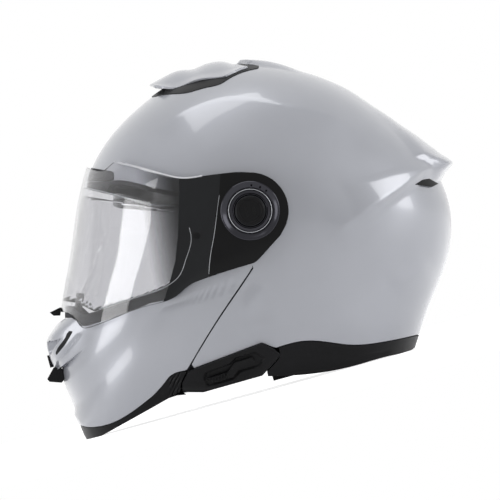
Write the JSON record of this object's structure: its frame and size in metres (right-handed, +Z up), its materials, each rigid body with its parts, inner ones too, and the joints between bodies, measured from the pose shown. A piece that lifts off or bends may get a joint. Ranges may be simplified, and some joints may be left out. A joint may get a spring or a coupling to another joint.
{
  "type": "modular motorcycle helmet",
  "caption": "Flip-up motorcycle helmet with a rounded shell, hinged chin bar, clear visor, inner sun visor, crown vent, rear wing and quick-release chin strap.",
  "frame": {"origin": "on the ground under the middle of the bounding box, with the helmet standing on its chin trim and rear base trim", "axes": "-X towards the face, +X towards the back, -Y towards the wearer's left, +Z up"},
  "size_m": [0.3598, 0.2588, 0.2664],
  "materials": {
    "shell_paint": "gloss light grey paint on a moulded shell",
    "black_plastic": "satin moulded black",
    "trim_rubber": "soft edge trim",
    "foam": "expanded bead foam",
    "lining": "brushed knit over foam",
    "webbing": "woven strap",
    "steel": "plated steel",
    "axle_metal": "turned",
    "visor_clear": "clear shield with dark ears",
    "insert_clear": "clear anti-fog insert",
    "sun_tint": "dark sun visor",
    "button_red": "red release button"
  },
  "bodies": {
    "shell": {"outer_shell": "shell_paint", "rear_spoiler": "shell_paint", "exhaust_mesh_left": "black_plastic", "exhaust_mesh_right": "black_plastic", "top_vent_base": "black_plastic", "crown_cover": "shell_paint", "eyeport_seal": "trim_rubber", "foam_liner": "foam", "crown_pad": "lining", "cheek_pad_left": "lining", "cheek_pad_right": "lining", "neck_roll": "lining", "base_trim": "trim_rubber", "side_pod_left": "black_plastic", "side_pod_right": "black_plastic", "pivot_axle_left": "axle_metal", "pivot_axle_right": "axle_metal", "axle_screws": "steel", "pivot_cap_left": "black_plastic", "pivot_cap_right": "black_plastic", "chin_strap_left": "webbing", "chin_strap_right": "webbing", "strap_rivets": "steel", "buckle_receiver": "black_plastic", "buckle_tab": "black_plastic", "striker_pins": "steel"},
    "top_vent": {"top_vent_scoop": "shell_paint"},
    "sun_visor_body": {"sun_visor": "sun_tint"},
    "sun_slider_body": {"sun_visor_slider": "black_plastic"},
    "lever_body": {"buckle_lever": "black_plastic"},
    "chin_bar_body": {"chin_bar": "shell_paint", "chin_liner": "foam", "chin_trim": "trim_rubber", "latch_pins": "steel", "chin_window_seal": "trim_rubber", "hinge_plate_left": "black_plastic", "hinge_plate_right": "black_plastic", "plate_screws": "steel", "pivot_ring_left": "black_plastic", "pivot_ring_right": "black_plastic", "chin_vent_cover": "shell_paint", "chin_vent_mesh": "black_plastic", "chin_vent_lip": "black_plastic", "breath_deflector": "black_plastic", "chin_curtain": "lining"},
    "visor_body": {"visor": "visor_clear", "antifog_insert": "insert_clear", "antifog_pins": "black_plastic", "visor_tab": "black_plastic"},
    "chin_slider_body": {"chin_vent_slider": "black_plastic"},
    "button_body": {"release_button": "button_red"},
    "hook_body": {"latch_hook_left": "steel", "latch_hook_right": "steel"}
  },
  "joints": [
    {"name": "chin_bar_flip", "type": "hinge", "parent": "shell", "child": "chin_bar_body", "pos_m": [0.01202, 0, 0.14131], "axis": [0, 1, 0], "range_deg": [0, 70]},
    {"name": "visor_lift", "type": "hinge", "parent": "chin_bar_body", "child": "visor_body", "pos_m": [0.01202, 0, 0.14131], "axis": [0, 1, 0], "range_deg": [0, 45]},
    {"name": "sun_visor_slide", "type": "slide", "parent": "shell", "child": "sun_slider_body", "axis": [0.9946, -0.076, 0.07], "range_m": [0, 0.014]},
    {"name": "sun_visor_drop", "type": "hinge", "parent": "shell", "child": "sun_visor_body", "pos_m": [0.01202, 0, 0.14131], "axis": [0, -1, 0], "range_deg": [0, 38]},
    {"name": "top_vent_slide", "type": "hinge", "parent": "shell", "child": "top_vent", "pos_m": [0.01202, 0, 0.14131], "axis": [0, -1, 0], "range_deg": [0, 2.5]},
    {"name": "chin_vent_slide", "type": "slide", "parent": "chin_bar_body", "child": "chin_slider_body", "axis": [0, 0, 1], "range_m": [0, 0.005]},
    {"name": "release_press", "type": "slide", "parent": "chin_bar_body", "child": "button_body", "axis": [-1, 0, 0], "range_m": [0, 0.003], "stiffness_N_per_m": 600},
    {"name": "latch_turn", "type": "hinge", "parent": "chin_bar_body", "child": "hook_body", "pos_m": [-0.07832, 0, 0.04937], "axis": [0, 1, 0], "range_deg": [0, 8.1]},
    {"name": "buckle_lever_turn", "type": "hinge", "parent": "shell", "child": "lever_body", "pos_m": [0.008, -0.01088, 0.0169], "axis": [1, 0, 0], "range_deg": [0, 45]}
  ],
  "couplings": [
    {"joint": "sun_visor_drop", "follows": "sun_visor_slide", "rad_per_m": 47.3},
    {"joint": "latch_turn", "follows": "release_press", "rad_per_m": 47}
  ]
}
